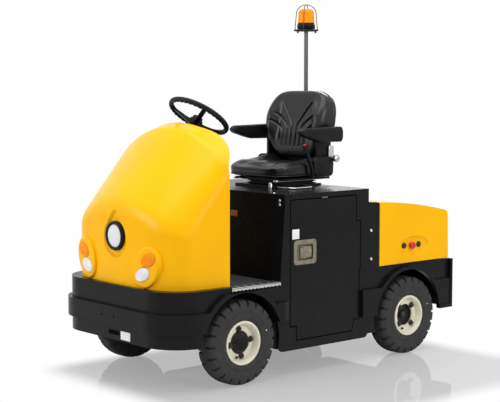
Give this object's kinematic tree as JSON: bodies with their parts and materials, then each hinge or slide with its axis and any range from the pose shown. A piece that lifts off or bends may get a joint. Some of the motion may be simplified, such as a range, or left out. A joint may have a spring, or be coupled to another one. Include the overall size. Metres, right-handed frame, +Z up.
{
  "type": "electric airport tow tractor",
  "caption": "Low four-wheeled battery tow tractor with a rounded yellow cowl, open driver station, side battery doors, rear cover and a beacon on a pole.",
  "frame": {"origin": "on the floor, under the middle of the overall length and width", "axes": "+Z up; forward is -Y; +X is the left-hand side of the vehicle"},
  "size_m": [1.09, 2.24, 2.077],
  "materials": {
    "black_steel": "satin powder coat",
    "under_steel": "matt paint",
    "floor_mat": "ribbed matt",
    "tread_metal": "punched, mill finish",
    "battery_case": "matt paint",
    "latch_metal": "zinc, yellow passivated",
    "yellow_moulding": "gloss",
    "tyre_rubber": "matt",
    "rim_paint": "gloss",
    "red_button": "gloss",
    "red_lens": "gloss",
    "clear_lens": "gloss",
    "amber_lens": "gloss",
    "black_plastic": "matt, grained",
    "seat_vinyl": "satin grained",
    "grey_tube": "satin",
    "zinc_wire": "zinc plated"
  },
  "bodies": {
    "tractor": {"chassis_frame": "black_steel", "front_skirt": "black_steel", "front_bumper": "black_steel", "side_frames": "black_steel", "floor_plate": "floor_mat", "step_treads": "tread_metal", "bulkhead": "black_steel", "battery": "battery_case", "seat_deck": "black_steel", "rear_body": "black_steel", "tail_lamps": "red_lens", "tow_coupling": "under_steel", "front_axle": "under_steel", "drive_axle": "under_steel", "cowl": "yellow_moulding", "headlamp": "clear_lens", "indicators": "amber_lens", "marker_lamps": "clear_lens", "dash_panel": "black_plastic", "steering_column": "black_plastic", "pedals": "black_plastic", "seat_suspension": "black_plastic", "seat_release_bar": "zinc_wire", "seat_cushion": "seat_vinyl", "seat_back": "seat_vinyl", "beacon_pole": "grey_tube", "beacon_lens": "amber_lens", "beacon_guard": "zinc_wire"},
    "left_door": {"left_door": "black_steel", "left_latch": "latch_metal"},
    "left_knuckle": {"left_knuckle": "under_steel"},
    "front_left_wheel": {"front_left_tyre": "tyre_rubber", "front_left_rim": "rim_paint", "front_left_hub": "under_steel"},
    "rear_left_wheel": {"rear_left_tyre": "tyre_rubber", "rear_left_rim": "rim_paint", "rear_left_hub": "under_steel"},
    "left_armrest": {"left_armrest": "black_plastic"},
    "right_door": {"right_door": "black_steel", "right_latch": "latch_metal"},
    "right_knuckle": {"right_knuckle": "under_steel"},
    "front_right_wheel": {"front_right_tyre": "tyre_rubber", "front_right_rim": "rim_paint", "front_right_hub": "under_steel"},
    "rear_right_wheel": {"rear_right_tyre": "tyre_rubber", "rear_right_rim": "rim_paint", "rear_right_hub": "under_steel"},
    "right_armrest": {"right_armrest": "black_plastic"},
    "rear_cover": {"rear_cover": "yellow_moulding", "stop_buttons": "red_button"},
    "steering_wheel": {"steering_wheel": "black_plastic"},
    "tie_rod": {"tie_rod": "under_steel"},
    "tow_pin": {"tow_pin": "zinc_wire"}
  },
  "joints": [
    {"name": "left_steer", "type": "hinge", "parent": "tractor", "child": "left_knuckle", "pos_m": [0.393, -0.62, 0.231], "axis": [0, 0, 1], "range_deg": [-35, 35]},
    {"name": "right_steer", "type": "hinge", "parent": "tractor", "child": "right_knuckle", "pos_m": [-0.393, -0.62, 0.231], "axis": [0, 0, 1], "range_deg": [-35, 35]},
    {"name": "tie_rod_pivot", "type": "hinge", "parent": "left_knuckle", "child": "tie_rod", "pos_m": [0.393, -0.48, 0.16], "axis": [0, 0, 1], "range_deg": [-35, 35]},
    {"name": "steering_wheel_turn", "type": "hinge", "parent": "tractor", "child": "steering_wheel", "pos_m": [0, -0.488, 1.426], "axis": [0, 0.5592, 0.829], "range_deg": [-420, 420]},
    {"name": "front_left_roll", "type": "hinge", "parent": "left_knuckle", "child": "front_left_wheel", "pos_m": [0.481, -0.62, 0.231], "axis": [1, 0, 0], "continuous": true},
    {"name": "rear_left_roll", "type": "hinge", "parent": "tractor", "child": "rear_left_wheel", "pos_m": [0.481, 0.67, 0.231], "axis": [1, 0, 0], "continuous": true},
    {"name": "left_door_hinge", "type": "hinge", "parent": "tractor", "child": "left_door", "pos_m": [0.516, 0.253, 0.58], "axis": [0, 0, 1], "range_deg": [0, 100]},
    {"name": "left_armrest_fold", "type": "hinge", "parent": "tractor", "child": "left_armrest", "pos_m": [0.28, 0.295, 1.305], "axis": [-1, 0, 0], "range_deg": [0, 90]},
    {"name": "front_right_roll", "type": "hinge", "parent": "right_knuckle", "child": "front_right_wheel", "pos_m": [-0.481, -0.62, 0.231], "axis": [1, 0, 0], "continuous": true},
    {"name": "rear_right_roll", "type": "hinge", "parent": "tractor", "child": "rear_right_wheel", "pos_m": [-0.481, 0.67, 0.231], "axis": [1, 0, 0], "continuous": true},
    {"name": "right_door_hinge", "type": "hinge", "parent": "tractor", "child": "right_door", "pos_m": [-0.516, 0.253, 0.58], "axis": [0, 0, -1], "range_deg": [0, 100]},
    {"name": "right_armrest_fold", "type": "hinge", "parent": "tractor", "child": "right_armrest", "pos_m": [-0.28, 0.295, 1.305], "axis": [-1, 0, 0], "range_deg": [0, 90]},
    {"name": "rear_cover_hinge", "type": "hinge", "parent": "tractor", "child": "rear_cover", "pos_m": [0, 0.4485, 0.9055], "axis": [1, 0, 0], "range_deg": [0, 60]},
    {"name": "tow_pin_lift", "type": "slide", "parent": "tractor", "child": "tow_pin", "axis": [0, 0, 1], "range_m": [0, 0.13]}
  ],
  "couplings": [
    {"joint": "right_steer", "follows": "left_steer", "ratio": 1},
    {"joint": "tie_rod_pivot", "follows": "left_steer", "ratio": -1},
    {"joint": "steering_wheel_turn", "follows": "left_steer", "ratio": 12}
  ]
}
